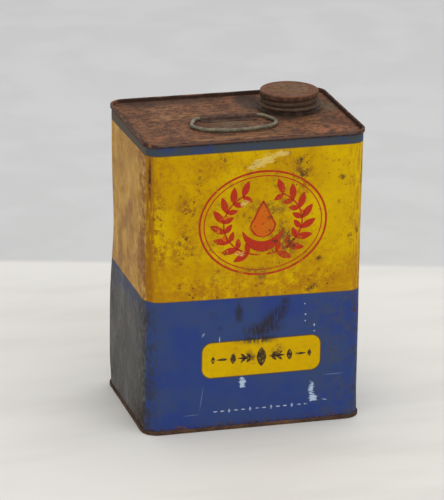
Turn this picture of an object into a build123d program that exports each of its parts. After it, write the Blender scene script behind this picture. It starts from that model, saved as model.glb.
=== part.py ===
from build123d import *
import os
from math import ceil, cos, radians, sin

# Rectangular one-gallon oil tin in tinplate: a folded body wrapper with a locked side seam,
# two stamped ends held by double seams, a screw neck soldered to the upper end, a rolled-thread
# cap with its liner, and a wire bail under a spot-welded clip.
# Millimetres, +Z up, origin at the middle of the base, the front face towards -Y.

# Overall size of the tin, measured over the seams
rim_width = 175.0
rim_depth = 125.0
rim_height = 234.0
rim_corner_radius = 13.2

# Tinplate and the way it is folded
sheet = 0.3
film_gap = 0.1
solder_gap = 0.02
overrun = 1.0

# Largest turn between two flats of a fold, in degrees: tight folds and the round ones in view
fold_angle = 45
round_fold_angle = 30

# Double seams that hold the two ends
seam_height = 3.2
countersink = 3.0
seam_top_bend = 0.45
panel_bend = 0.6
hook_tip_gap = 0.2
panel_edge_run = 0.2
outside_layer_count = 3
seam_layer_count = 5

# Locked side seam, on the right-hand side near the back
side_seam_place = 32.0
side_seam_hook = 4.0
side_seam_end_gap = 0.3
joggle_bend = 0.5
joggle_offset = 0.25
joggle_angle = 60
solder_stand = 0.05
solder_depth = 0.6
side_seam_layer_count = 4

# Screw neck
neck_from_side = 40.2
neck_from_back = 45.0
neck_outer_radius = 21.2
neck_height = 14.0
neck_flange = 2.2
neck_foot_bend = 0.6
neck_lip_bend = 0.85
neck_lip_drop = 3.0
collar_height = 2.4
collar_fit = 0.1
neck_solder_width = 1.1

# Thread that is rolled into the neck and the cap
thread_pitch = 4.2333
thread_depth = 1.0
bead_foot_half = 1.25
bead_crest_half = 0.5
thread_sink = 0.1
thread_fade_angle = 50
cap_thread_start_angle = -174
cap_thread_end_angle = 430
neck_thread_start_angle = -148
neck_thread_end_angle = 480
thread_step_angle = 15
front_angle = -90

# Cap and liner
cap_radius = 22.9
cap_height = 11.7
cap_top_bend = 1.2
cap_curl_bend = 1.0
cap_curl_angle = 290
cap_thread_drop = 8.9
liner_thickness = 1.3
liner_edge_gap = 0.1
liner_seat_gap = 0.1

# Wire bail and the clip that holds it
wire_radius = 1.4
wire_rest_gap = 0.3
wire_fit = 0.1
wire_butt_gap = 0.4
bail_to_neck = 53.7
bail_y = 0.0
bail_width = 66.5
bail_reach = 35.0
bail_shoulder_bend = 7.0
bail_side_bend = 11.0
bail_front_bend = 16.0
bail_bow_bend = 60.0
bail_shoulder_run = 4.5
clip_length = 45.0
clip_front_flange = 4.0
clip_back_flange = 5.2
clip_bend = 0.6
clip_corner_radius = 2.5
weld_radius = 1.1
weld_depth = 0.12
weld_inset = 5.0

# Where the bail's bends have their corners, as shares of its half width and of its reach
side_corner_shares = (1.036, 0.5)
front_corner_shares = (0.81, 0.86)
bow_corner_share = 1.04

# Strength of the rolled thread at the very ends of its fade, as a share of the full thread
fade_floor_share = 0.08

# Sizes that follow from the ones above
layer_step = sheet + film_gap
body_width = rim_width - 2 * outside_layer_count * layer_step
body_depth = rim_depth - 2 * outside_layer_count * layer_step
body_radius = rim_corner_radius - outside_layer_count * layer_step
wall_middle = -sheet / 2
chuck_middle = wall_middle - layer_step
hook_fold_height = -2 * layer_step - sheet / 2
seam_fold_height = -seam_height + sheet / 2 + layer_step
hook_length = hook_fold_height - seam_fold_height - hook_tip_gap
panel_edge = chuck_middle - panel_bend - panel_edge_run
panel_top = rim_height - countersink
neck_x = rim_width / 2 - neck_from_side
neck_y = rim_depth / 2 - neck_from_back
bail_x = neck_x - bail_to_neck
neck_top = panel_top + neck_height
liner_bottom = neck_top + liner_seat_gap
cap_top = liner_bottom + liner_thickness + sheet
wire_height = panel_top + wire_rest_gap + wire_radius
thread_front_height = cap_top - cap_thread_drop
side_seam_low = countersink + sheet + side_seam_end_gap
side_seam_length = rim_height - 2 * side_seam_low
side_seam_plane = Plane(
    origin=(body_width / 2, side_seam_place, side_seam_low), x_dir=(0, 1, 0), z_dir=(0, 0, 1)
)


def folded_strip(start, heading, steps, flat_turn=fold_angle):
    """Cross-section of a sheet folded along steps: ("run", length) or ("bend", radius, turn).

    A bend is drawn in flats that turn by flat_turn degrees at most.
    """
    place, angle = Vector(*start), heading
    half = Vector(0, sheet / 2).rotate(Axis.Z, angle)
    left, right = [place + half], [place - half]
    for kind, size, *turns in steps:
        if kind == "run":
            place += Vector(size, 0).rotate(Axis.Z, angle)
            left.append(place + half)
            right.append(place - half)
            continue
        turn = turns[0]
        centre = place + Vector(0, size if turn > 0 else -size).rotate(Axis.Z, angle)
        flats = ceil(abs(turn) / flat_turn)
        for _ in range(flats):
            place = centre + (place - centre).rotate(Axis.Z, turn / flats)
            half = half.rotate(Axis.Z, turn / flats)
            left.append(place + half)
            right.append(place - half)
        angle += turn
    return make_face(Polyline(*left, *reversed(right), close=True))


def ring(section, width, depth, radius):
    """Carry a section, drawn outward from the wall line, round a rounded rectangle."""
    corner_x, corner_y = width / 2 - radius, depth / 2 - radius
    upright = Plane.XZ * section
    at_side = Pos(width / 2, 0, 0) * upright
    side = extrude(at_side, amount=corner_y, dir=(0, 1, 0))
    turned = Pos(corner_x, corner_y, 0) * Pos(radius, 0, 0) * upright
    corner = revolve(turned, axis=Axis((corner_x, corner_y, 0), (0, 0, 1)), revolution_arc=90)
    at_back = Pos(corner_x, corner_y, 0) * Rot(0, 0, 90) * Pos(radius, 0, 0) * upright
    back = extrude(at_back, amount=corner_x, dir=(-1, 0, 0))
    quarter = side + corner + back
    half = quarter + mirror(quarter, about=Plane.YZ)
    return half + mirror(half, about=Plane.XZ)


def rounded_plate(width, depth, radius, thickness):
    return extrude(RectangleRounded(width, depth, radius), amount=thickness)


def end_panel():
    """Stamped end, seam plane at zero: countersunk panel, chuck wall, seaming wall and hook."""
    chuck_run = countersink - seam_top_bend - panel_bend
    flat_run = (seam_layer_count - 1) * layer_step - 2 * seam_top_bend
    outer_run = seam_height - sheet - layer_step - seam_top_bend
    section = folded_strip(
        (panel_edge, -countersink - sheet / 2),
        0,
        [
            ("run", panel_edge_run),
            ("bend", panel_bend, 90),
            ("run", chuck_run),
            ("bend", seam_top_bend, -90),
            ("run", flat_run),
            ("bend", seam_top_bend, -90),
            ("run", outer_run),
            ("bend", layer_step, -180),
            ("run", hook_length),
        ],
    )
    rim = ring(section, body_width, body_depth, body_radius)
    panel = rounded_plate(
        body_width + 2 * panel_edge, body_depth + 2 * panel_edge, body_radius + panel_edge, sheet
    )
    return rim + Pos(0, 0, -countersink - sheet) * panel


def seam_compound():
    """Sealing compound that fills the top of a double seam, over the body hook."""
    middle = wall_middle + layer_step
    half_width = (seam_layer_count - 1) * layer_step / 2 - sheet / 2 - solder_gap
    top = -sheet - solder_gap
    corner = seam_top_bend - sheet / 2
    radius = layer_step + sheet / 2 + solder_gap
    over_hook = [
        (middle + radius * cos(radians(angle)), hook_fold_height + radius * sin(radians(angle)))
        for angle in range(0, 181, fold_angle)
    ]
    outside = [
        (middle - half_width, hook_fold_height),
        (middle - half_width, top - corner),
        (middle - half_width + corner, top),
        (middle + half_width - corner, top),
        (middle + half_width, top - corner),
        (middle + half_width, hook_fold_height),
    ]
    section = make_face(Polyline(*over_hook, *outside, close=True))
    return ring(section, body_width, body_depth, body_radius)


def to_top(shape):
    return Pos(0, 0, rim_height) * shape


def to_bottom(shape):
    return mirror(shape, about=Plane.XY)


def side_seam_sections():
    """Plan sections of the two locked hooks; X runs along the wall and Y goes into the tin."""
    wall_layer = sheet / 2
    drop = (side_seam_layer_count - 1) * layer_step
    slope = (drop - 2 * joggle_bend * (1 - cos(radians(joggle_angle)))) / sin(radians(joggle_angle))
    joggle_length = 2 * joggle_bend * sin(radians(joggle_angle)) + slope * cos(radians(joggle_angle))
    joggle_end = side_seam_hook + joggle_offset
    tongue = side_seam_hook - hook_tip_gap
    outer_hook = folded_strip(
        (side_seam_hook, wall_layer), 0, [("bend", layer_step, 180), ("run", tongue)]
    )
    inner_hook = folded_strip(
        (joggle_end + joggle_length, wall_layer),
        180,
        [
            ("bend", joggle_bend, -joggle_angle),
            ("run", slope),
            ("bend", joggle_bend, joggle_angle),
            ("run", joggle_end),
            ("bend", layer_step, 180),
            ("run", tongue),
        ],
    )
    return outer_hook, inner_hook, joggle_end + joggle_length


def body_shell():
    """One folded wrapper: walls, an outward hook at each end, and the locked side seam."""
    wall_run = rim_height + 2 * hook_fold_height
    section = folded_strip(
        (wall_middle + 2 * layer_step, rim_height + hook_fold_height - hook_length),
        90,
        [
            ("run", hook_length),
            ("bend", layer_step, 180),
            ("run", wall_run),
            ("bend", layer_step, 180),
            ("run", hook_length),
        ],
    )
    shell = ring(section, body_width, body_depth, body_radius)
    outer_hook, inner_hook, slot_end = side_seam_sections()
    slot_length = slot_end - side_seam_hook
    slot = Pos(side_seam_hook + slot_length / 2, sheet / 2) * Rectangle(slot_length, sheet + overrun)
    shell = shell - extrude(side_seam_plane * slot, amount=side_seam_length)
    shell = shell + extrude(side_seam_plane * outer_hook, amount=side_seam_length)
    return shell + extrude(side_seam_plane * inner_hook, amount=side_seam_length)


def side_seam_solder():
    """Solder that fills the groove between the two hooks, outside the tin."""
    outer_hook, inner_hook, slot_end = side_seam_sections()
    length = slot_end - side_seam_hook
    fill = Pos(side_seam_hook + length / 2, (solder_depth - solder_stand) / 2) * Rectangle(
        length, solder_depth + solder_stand
    )
    fill = fill - offset(outer_hook, solder_gap) - offset(inner_hook, solder_gap)
    pool = fill.faces().sort_by(SortBy.AREA)[-1]
    return extrude(side_seam_plane * pool, amount=side_seam_length)


def top_end():
    """Upper end with a hole for the neck and a collar turned up round it."""
    collar_middle = neck_outer_radius - sheet - collar_fit - sheet / 2
    hole_radius = collar_middle + panel_bend
    collar = folded_strip(
        (hole_radius, panel_top - sheet / 2),
        180,
        [("bend", panel_bend, -90), ("run", collar_height - panel_bend)],
    )
    lid = to_top(end_panel())
    hole = Pos(neck_x, neck_y, panel_top - sheet - overrun) * Cylinder(
        hole_radius, sheet + 2 * overrun, align=(Align.CENTER, Align.CENTER, Align.MIN)
    )
    return lid - hole + Pos(neck_x, neck_y, 0) * revolve(Plane.XZ * collar, axis=Axis.Z)


def helix_section(turn, foot_radius, crest_radius, foot_half, crest_half, height, strength):
    """Trapezium across a rolled thread, at an angle round the axis, shrunk where it fades."""
    crest = foot_radius + (crest_radius - foot_radius) * strength
    foot_width, crest_width = foot_half * strength, crest_half * strength
    points = [
        (foot_radius, height - foot_width),
        (crest, height - crest_width),
        (crest, height + crest_width),
        (foot_radius, height + foot_width),
    ]
    flat = make_face(Polyline(*points, close=True))
    return Rot(0, 0, turn) * (Plane.XZ * flat)


def rolled_thread(foot_radius, crest_radius, foot_half, crest_half, first_turn, last_turn, drop):
    """Helical ridge that fades in and out; its height is set by the cap's thread less drop."""
    count = round((last_turn - first_turn) / thread_step_angle)
    sections = []
    for index in range(count + 1):
        turn = first_turn + (last_turn - first_turn) * index / count
        reach = min(turn - first_turn, last_turn - turn, thread_fade_angle) / thread_fade_angle
        strength = max(reach * (2 - reach), fade_floor_share)
        height = thread_front_height + thread_pitch * (turn - front_angle) / 360 - drop
        sections.append(
            helix_section(turn, foot_radius, crest_radius, foot_half, crest_half, height, strength)
        )
    return loft(sections)


def neck_thread(inward):
    """The neck's thread: its outer skin, or the same skin moved inward by the sheet."""
    foot_radius = neck_outer_radius - inward - thread_sink
    crest_radius = neck_outer_radius + thread_depth - inward
    trim = flank_trim() * inward / sheet
    sink_spread = thread_sink * flank_slope()
    return rolled_thread(
        foot_radius,
        crest_radius,
        bead_foot_half + sink_spread - trim,
        bead_crest_half - trim,
        neck_thread_start_angle,
        neck_thread_end_angle,
        thread_pitch / 2,
    )


def flank_slope():
    return (bead_foot_half - bead_crest_half) / thread_depth


def flank_trim():
    """How far a flank moves along the axis when the sheet is offset by its thickness."""
    return sheet * ((1 + flank_slope() ** 2) ** 0.5 - flank_slope())


def neck():
    """Screw neck: foot flange, threaded wall, and a lip rolled inward and down."""
    wall_radius = neck_outer_radius - sheet / 2
    wall_run = neck_height - sheet / 2 - neck_foot_bend - neck_lip_bend - sheet / 2
    section = folded_strip(
        (neck_outer_radius + neck_flange, panel_top + sheet / 2),
        180,
        [
            ("run", neck_flange + sheet / 2 - neck_foot_bend),
            ("bend", neck_foot_bend, -90),
            ("run", wall_run),
            ("bend", neck_lip_bend, 180),
            ("run", neck_lip_drop),
        ],
    )
    tube = revolve(Plane.XZ * section, axis=Axis.Z)
    return Pos(neck_x, neck_y, 0) * (tube + neck_thread(0) - neck_thread(sheet))


def neck_solder():
    """Fillet of solder round the neck's flange."""
    inner = neck_outer_radius + neck_flange + solder_gap
    points = [
        (inner, panel_top),
        (inner + neck_solder_width, panel_top),
        (inner, panel_top + sheet),
    ]
    section = Plane.XZ * make_face(Polyline(*points, close=True))
    return Pos(neck_x, neck_y, 0) * revolve(section, axis=Axis.Z)


def cap_thread(inward):
    """The cap's thread, pressed inward: the groove outside, or its bulge on the inner side."""
    trim = flank_trim() * inward / sheet
    sink_spread = thread_sink * flank_slope()
    return rolled_thread(
        cap_radius - inward + thread_sink,
        cap_radius - thread_depth - inward,
        bead_foot_half + sink_spread + trim,
        bead_crest_half + trim,
        cap_thread_start_angle,
        cap_thread_end_angle,
        0,
    )


def cap():
    """Screw cap: flat top, skirt with its rolled thread, and a curl round the lower edge."""
    skirt_middle = cap_radius - sheet / 2
    skirt_run = cap_height - sheet - cap_top_bend - cap_curl_bend
    section = folded_strip(
        (0, cap_top - sheet / 2),
        0,
        [
            ("run", skirt_middle - cap_top_bend),
            ("bend", cap_top_bend, -90),
            ("run", skirt_run),
            ("bend", cap_curl_bend, cap_curl_angle),
        ],
    )
    shell = revolve(Plane.XZ * section, axis=Axis.Z)
    return Pos(neck_x, neck_y, 0) * (shell + cap_thread(sheet) - cap_thread(0))


def cap_liner():
    """Pulpboard disc pressed up inside the cap."""
    radius = cap_radius - sheet / 2 - cap_top_bend - liner_edge_gap
    disc = Cylinder(radius, liner_thickness, align=(Align.CENTER, Align.CENTER, Align.MIN))
    return Pos(neck_x, neck_y, liner_bottom) * disc


def bail():
    """Wire bail lying forward: a straight pin in the clip, shoulders, sides and a bowed front."""
    half_width = bail_width / 2
    pin_corner = clip_length / 2 + bail_shoulder_run
    right = [
        (pin_corner, 0),
        (half_width * side_corner_shares[0], -bail_reach * side_corner_shares[1]),
        (half_width * front_corner_shares[0], -bail_reach * front_corner_shares[1]),
    ]
    left = [(-x, y) for x, y in reversed(right)]
    bow = (0, -bail_reach * bow_corner_share)
    points = [(wire_butt_gap / 2, 0), *right, bow, *left, (-wire_butt_gap / 2, 0)]
    bends = [bail_shoulder_bend, bail_side_bend, bail_front_bend]
    route = FilletPolyline(*points, radius=[*bends, bail_bow_bend, *reversed(bends)])
    wire = sweep(Plane(origin=route @ 0, z_dir=route % 0) * Circle(wire_radius), path=route)
    return Pos(bail_x, bail_y, wire_height) * wire


def bail_clip():
    """Tinplate strap over the bail's pin, with a flange each side and four spot welds."""
    barrel = wire_radius + wire_fit + sheet / 2
    rise = wire_height - panel_top - sheet / 2 - clip_bend
    section = folded_strip(
        (-barrel - clip_bend - clip_front_flange, panel_top + sheet / 2),
        0,
        [
            ("run", clip_front_flange),
            ("bend", clip_bend, 90),
            ("run", rise),
            ("bend", barrel, -180),
            ("run", rise),
            ("bend", clip_bend, 90),
            ("run", clip_back_flange),
        ],
        round_fold_angle,
    )
    strap = extrude(Plane.YZ * section, amount=clip_length / 2, both=True)
    upright = strap.edges().filter_by(Axis.Z).group_by(Axis.Y)
    strap = fillet([*upright[0], *upright[-1]], clip_corner_radius)
    weld_x = clip_length / 2 - weld_inset
    front_y = -barrel - clip_bend - clip_front_flange / 2
    back_y = barrel + clip_bend + clip_back_flange / 2
    for x in (-weld_x, weld_x):
        for y in (front_y, back_y):
            dimple = Cylinder(weld_radius, overrun, align=(Align.CENTER, Align.CENTER, Align.MIN))
            strap = strap - Pos(x, y, panel_top + sheet - weld_depth) * dimple
    return Pos(bail_x, bail_y, 0) * strap


pieces = {
    "body_shell": body_shell,
    "side_seam_solder": side_seam_solder,
    "top_end": top_end,
    "bottom_end": lambda: to_bottom(end_panel()),
    "top_seam_compound": lambda: to_top(seam_compound()),
    "bottom_seam_compound": lambda: to_bottom(seam_compound()),
    "neck": neck,
    "neck_solder": neck_solder,
    "cap": cap,
    "cap_liner": cap_liner,
    "bail": bail,
    "bail_clip": bail_clip,
}

os.makedirs("parts", exist_ok=True)
for name, make in pieces.items():
    export_step(make(), f"parts/{name}.step")
    print("wrote", name)
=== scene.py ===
from math import cos, hypot, pi, radians, sin, tanh

import bpy
from mathutils import Matrix, Vector, geometry, noise


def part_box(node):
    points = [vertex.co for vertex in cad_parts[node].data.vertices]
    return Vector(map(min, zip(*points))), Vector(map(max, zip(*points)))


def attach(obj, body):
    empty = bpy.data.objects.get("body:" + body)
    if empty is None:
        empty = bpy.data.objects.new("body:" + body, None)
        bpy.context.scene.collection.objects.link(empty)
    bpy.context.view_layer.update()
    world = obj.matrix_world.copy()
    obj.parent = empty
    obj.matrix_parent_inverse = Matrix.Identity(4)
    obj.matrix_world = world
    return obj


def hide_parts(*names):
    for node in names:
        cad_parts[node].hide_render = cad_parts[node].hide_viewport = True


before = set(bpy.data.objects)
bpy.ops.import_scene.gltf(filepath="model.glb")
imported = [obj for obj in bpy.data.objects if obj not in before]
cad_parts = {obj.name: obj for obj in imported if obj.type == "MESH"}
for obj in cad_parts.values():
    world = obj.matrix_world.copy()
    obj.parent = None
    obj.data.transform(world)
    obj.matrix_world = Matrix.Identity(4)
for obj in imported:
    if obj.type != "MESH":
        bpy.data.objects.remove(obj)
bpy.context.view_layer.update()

# A rusted one-gallon oil tin. Lengths are in metres, with mm for short sizes, and the shader
# works in millimetres. The front faces -Y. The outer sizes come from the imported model's boxes.
mm = 0.001

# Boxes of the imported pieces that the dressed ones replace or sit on
_, rim_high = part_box("top_end")
base_low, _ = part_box("bottom_end")
cap_low, cap_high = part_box("cap")
neck_low, neck_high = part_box("neck")
solder_low, solder_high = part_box("side_seam_solder")

# Sheet, double seams and the panels inside them
sheet = 0.3 * mm
seam_overhang = 1.2 * mm
seam_inside = 0.7 * mm
seam_height = 3.2 * mm
seam_waist = 0.06 * mm
seam_edge_bend = 0.6 * mm
seam_foot_bend = 0.5 * mm
tuck_depth = 0.8 * mm
tuck_reach = 0.1 * mm
countersink = 3 * mm
panel_bend = 0.45 * mm
panel_edge_run = 0.45 * mm
corner_radius = 12 * mm
half_x = rim_high.x - seam_overhang
half_y = rim_high.y - seam_overhang
rim_top = rim_high.z
panel_top = rim_top - countersink

# Side seam: its groove, and how far round it the wall has no dents
groove_depth = 0.5 * mm
groove_edge = 0.15 * mm
seam_clear_x = 2 * mm
seam_clear_y = 4 * mm

# Cap, neck and their rolled thread: its turns and its fade in degrees
axis_x = (cap_low.x + cap_high.x) / 2
axis_y = (cap_low.y + cap_high.y) / 2
cap_radius = 22.9 * mm
cap_edge_bend = 1.35 * mm
cap_top_radii = [radius * mm for radius in (0.05, 4, 8, 12, 16, 19, 20, 21)]
cap_roof_radii = (12 * mm, 0.05 * mm)
cap_sink = 0.08 * mm
cap_sink_radius = 19 * mm
curl_radius = 1.15 * mm
curl_angles = (118, -180)
neck_radius = 21.2 * mm
neck_foot_bend = 0.6 * mm
flange_radius = neck_radius + 2.2 * mm
lip_radius = 1 * mm
lip_drop = 3 * mm
hole_radius = 20.9 * mm
thread_pitch = 4.2333 * mm
thread_depth = 1 * mm
thread_foot = 1.25 * mm
thread_crest = 0.5 * mm
thread_front_height = cap_high.z - 8.9 * mm
thread_fade = 50
cap_thread_turns = (-174, 430)
neck_thread_turns = (-148, 480)

# Mesh spacing
wall_step = 2.5 * mm
wall_end = 1.2 * mm
corner_steps = 10
round_steps = 144
hole_steps = 72
cap_wall_steps = 34
neck_wall_steps = 36
sharp_angle = radians(50)

# The printed bands and the plate on the front, in millimetres
yellow_top = 224
yellow_bottom = 106.7
band_slope = -0.0167
edge_soft = 0.25
edge_line = 0.8
plate_centre = (5.5, 57.5)
plate_half = (47.5, 14.5)
plate_radius = 8

# Wear marks: the front's level and half depth, and a lid's half depth, in millimetres
front_level = -61
front_mark_depth = 30
lid_mark_depth = 9

# Depth of the bumps in every material
bump_distance = 0.3 * mm


def srgb(red, green, blue):
    """Linear colour of an eight-bit screen colour."""
    linear = []
    for value in (red, green, blue):
        share = value / 255
        linear.append(share / 12.92 if share <= 0.04045 else ((share + 0.055) / 1.055) ** 2.4)
    return (*linear, 1.0)


class Graph:
    """Short forms for building one material's nodes; its place socket is in millimetres."""

    def __init__(self, name):
        self.material = bpy.data.materials.new(name)
        self.material.use_nodes = True
        self.tree = self.material.node_tree
        self.shader = self.tree.nodes["Principled BSDF"]
        coordinates = self.tree.nodes.new("ShaderNodeTexCoord").outputs
        self.normal = coordinates["Normal"]
        self.place = self.vector("SCALE", coordinates["Object"], factor=1000)
        split = self.node("ShaderNodeSeparateXYZ", {"Vector": self.place})
        self.x, self.y, self.z = split.outputs

    def node(self, kind, inputs, **settings):
        made = self.tree.nodes.new(kind)
        for name, value in settings.items():
            setattr(made, name, value)
        for name, value in inputs.items():
            self.feed(made.inputs[name], value)
        return made

    def feed(self, socket, value):
        if isinstance(value, bpy.types.NodeSocket):
            self.tree.links.new(value, socket)
        else:
            socket.default_value = value

    def math(self, operation, first, second=0.0):
        return self.node("ShaderNodeMath", {0: first, 1: second}, operation=operation).outputs[0]

    def chain(self, operation, result, *others):
        """One operation over all the values in turn."""
        for other in others:
            result = self.math(operation, result, other)
        return result

    def plus(self, *values):
        return self.chain("ADD", *values)

    def minus(self, first, second):
        return self.math("SUBTRACT", first, second)

    def absolute(self, value):
        return self.math("ABSOLUTE", value)

    def times(self, *factors):
        return self.chain("MULTIPLY", *factors)

    def most(self, *values):
        return self.chain("MAXIMUM", *values)

    def vector(self, operation, first, second=(0, 0, 0), factor=1.0):
        made = self.node("ShaderNodeVectorMath", {0: first, 1: second, 3: factor}, operation=operation)
        return made.outputs["Value" if operation in ("LENGTH", "DOT_PRODUCT") else "Vector"]

    def ramp(self, value, low, high, out_low=0.0, out_high=1.0):
        """Smooth step of a value from low to high, clamped."""
        made = self.node(
            "ShaderNodeMapRange",
            {"Value": value, "From Min": low, "From Max": high, "To Min": out_low, "To Max": out_high},
            interpolation_type="SMOOTHSTEP",
        )
        return made.outputs[0]

    def mix(self, under, over, *factors):
        """One colour over another by a product of factors; three numbers are a screen colour."""
        under, over = (srgb(*tone) if isinstance(tone, tuple) else tone for tone in (under, over))
        made = self.node(
            "ShaderNodeMix",
            {"Factor": self.times(*factors), 6: under, 7: over},
            data_type="RGBA",
            clamp_factor=True,
        )
        return made.outputs[2]

    def layers(self, colour, *rows):
        """A colour under layers, each a row of another colour and its factors."""
        for row in rows:
            colour = self.mix(colour, *row)
        return colour

    def noise(self, size, detail=3.0, roughness=0.55, stretch=(1, 1, 1), seed=0.0):
        """Noise whose features are about size millimetres, times stretch along each axis."""
        scaled = self.vector("MULTIPLY", self.place, tuple(1 / (size * s) for s in stretch))
        shifted = self.vector("ADD", scaled, (seed, seed * 1.7, seed * 2.3))
        made = self.node(
            "ShaderNodeTexNoise",
            {"Vector": shifted, "Scale": 1, "Detail": detail, "Roughness": roughness},
        )
        return made.outputs["Fac"]

    def warped(self, reach, size):
        """The place, pushed about by up to reach millimetres."""
        made = self.node("ShaderNodeTexNoise", {"Vector": self.place, "Scale": 1 / size, "Detail": 3.0})
        centred = self.vector("SUBTRACT", made.outputs["Color"], (0.5, 0.5, 0.5))
        return self.vector("ADD", self.place, self.vector("SCALE", centred, factor=2 * reach))

    def spots(self, spacing, radius, share, seed):
        """Ragged spots, one in a share of the cells that are spacing millimetres apart."""
        ragged = self.warped(0.35 * spacing, 0.5 * spacing)
        scaled = self.vector("SCALE", ragged, factor=1 / spacing)
        shifted = self.vector("ADD", scaled, (seed,) * 3)
        cells = self.node("ShaderNodeTexVoronoi", {"Vector": shifted, "Scale": 1.0})
        lot = self.node("ShaderNodeSeparateColor", {"Color": cells.outputs["Color"]}).outputs[0]
        size = self.ramp(lot, 1 - share, 1, 0, radius / spacing)
        return self.ramp(self.minus(size, cells.outputs["Distance"]), -0.02, 0.08)

    def blob(self, place, centre, radii, turn=(0, 0, 0), soft=0.5):
        """Soft ellipsoid: 1 inside, fading out over the soft share of its radii."""
        made = self.node(
            "ShaderNodeMapping",
            {"Vector": place, "Location": centre, "Rotation": [radians(t) for t in turn], "Scale": radii},
            vector_type="TEXTURE",
        )
        return self.ramp(self.vector("LENGTH", made.outputs[0]), 1, 1 - soft)

    def marks(self, place, table, level=None, soft=0.7):
        """Strongest of a table's marks: (x, z) on the front, or (x, y) on a lid at a level.

        A row is a place, two half sizes, an angle anticlockwise and a strength.
        """
        found = 0
        for across, up, wide, high, angle, strength in table:
            if level is None:
                centre, radii = (across, front_level, up), (wide, front_mark_depth, high)
                turn = (0, -angle, 0)
            else:
                centre, radii = (across, up, level), (wide, high, lid_mark_depth)
                turn = (0, 0, angle)
            found = self.most(self.times(self.blob(place, centre, radii, turn, soft), strength), found)
        return found

    def finish(self, colour, roughness, height=None, bump=0.3, metallic=0.0, gloss=0.1):
        values = {"Base Color": colour, "Roughness": roughness, "Metallic": metallic}
        values["Specular IOR Level"] = gloss
        if height is not None:
            lumps = {"Height": height, "Strength": bump, "Distance": bump_distance}
            values["Normal"] = self.node("ShaderNodeBump", lumps).outputs["Normal"]
        for name, value in values.items():
            self.feed(self.shader.inputs[name], value)
        return self.material


# Wear on the front: x, z, half sizes, angle and strength
front_dirt = (
    (-77, 165, 12, 56, 0, 0.9),
    (-58, 150, 18, 28, 0, 0.7),
    (-42, 116, 42, 13, 0, 1),
    (-52, 184, 17, 10, 20, 1),
    (38, 200, 17, 26, 0, 1),
    (20, 152, 24, 26, 0, 0.9),
    (12, 178, 30, 13, 0, 0.75),
    (74, 165, 14, 60, 0, 0.6),
    (44, 116, 44, 13, 0, 1),
    (6, 57, 44, 14, 0, 0.3),
)
front_haze = (
    (23, 150, 9, 19, 8, 0.9),
    (33, 206, 6, 15, 10, 0.7),
    (4.5, 124.5, 6, 7, 0, 1),
    (12, 177, 22, 9, 0, 0.6),
    (0, 129, 16, 2.4, 0, 0.7),
    (-31, 125, 9, 5, 0, 0.45),
)
front_spots = (
    (33.5, 214, 5.2, 4.4, 20, 1),
    (37, 203, 5, 4.4, 0, 1),
    (0, 214, 6.4, 2.4, 35, 0.9),
    (67.5, 198, 4.8, 3.8, 0, 0.85),
    (-31, 181, 3.2, 3.6, 0, 0.8),
    (45, 111, 7.4, 3.2, 20, 1),
    (50, 134, 3.6, 3, 0, 0.9),
    (27, 149, 4.2, 10, 10, 0.7),
    (-3, 58, 5, 9, 25, 0.75),
    (18, 61, 6, 8, -30, 0.8),
)
front_stains = (
    (14, 87, 25, 10, 46, 1),
    (6, 80, 23, 9, 8, 1),
    (22, 98, 11, 6, 60, 1),
    (2, 72, 24, 5.6, 0, 1),
    (-13, 95, 4.5, 12, 0, 0.9),
    (-28, 83, 3, 3, 0, 0.7),
    (-33, 94, 4, 5, 0, 0.35),
)
front_scuffs = (
    (-9.3, 37.5, 4.6, 7.6, 0, 1),
    (46, 27, 4, 11, 0, 0.8),
    (47.5, 20, 5.8, 5.6, 0, 1.15),
)
front_chips = (
    (40.2, 89.3, 1, 1, 0, 1),
    (40, 84, 0.8, 0.8, 0, 0.9),
    (47.4, 80, 0.9, 1.6, 0, 0.9),
    (47.6, 75, 0.8, 0.8, 0, 0.9),
    (39.4, 98, 0.8, 0.8, 0, 0.8),
    (-28, 74, 0.5, 3.4, 0, 1),
    (-41, 79, 2.6, 1, 55, 0.5),
    (-42, 27, 0.5, 13, -8, 0.22),
    (-50, 14, 9, 0.5, 2, 0.2),
    (64, 38, 11, 0.5, 1, 0.25),
    (57, 17.5, 3, 0.7, -12, 0.6),
)
front_pale = (
    (4, 214.5, 19, 6, 24, 0.85),
    (19, 220, 10, 3.6, 0, 0.9),
    (-10, 183, 6, 4, 30, 0.6),
    (-13, 142.5, 6, 3, 0, 0.65),
)
front_rust = (
    (80, 88.5, 2.4, 4.2, 0, 1),
    (-60, 4, 9, 3.6, 0, 0.9),
    (84, 120, 1.6, 34, 0, 0.5),
    (84, 200, 1.4, 30, 0, 0.6),
)

# Old stains on the upper end, with painted shadows in the dark table: x, y, half sizes, angle and strength
lid_gold = (
    (-42, 14, 34, 14, 0, 1),
    (-10, -50, 74, 9, 0, 1),
    (-52, 36, 24, 10, 0, 0.5),
)
lid_orange = (
    (4, 50, 17, 15, 0, 0.45),
    (62, -40, 30, 15, 0, 0.9),
    (82, -14, 9, 22, 0, 0.6),
    (10, -52, 34, 6, 0, 0.6),
    (-70, -38, 16, 10, 0, 0.4),
)
lid_dark_stains_and_shadows = (
    (21, 42, 13, 34, 0, 1),
    (47.3, 17.5, 31, 29, 0, 1),
    # Painted shadow just in front of the cap
    (34, -8, 24, 9, 0, 0.85),
    # Painted shadow round the clip, under the bail's back wire
    (-5, 9, 33, 7, 0, 0.85),
    (-32, 55, 70, 12, 0, 0.7),
    (-84, 0, 4, 60, 0, 0.6),
)
lid_green = (
    (78, 18, 11, 22, 0, 1),
    (-6, -15, 30, 15, 0, 0.8),
    (60, 50, 24, 12, 0, 0.6),
    (22, -34, 34, 7, 0, 0.4),
)


# Finishes

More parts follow.
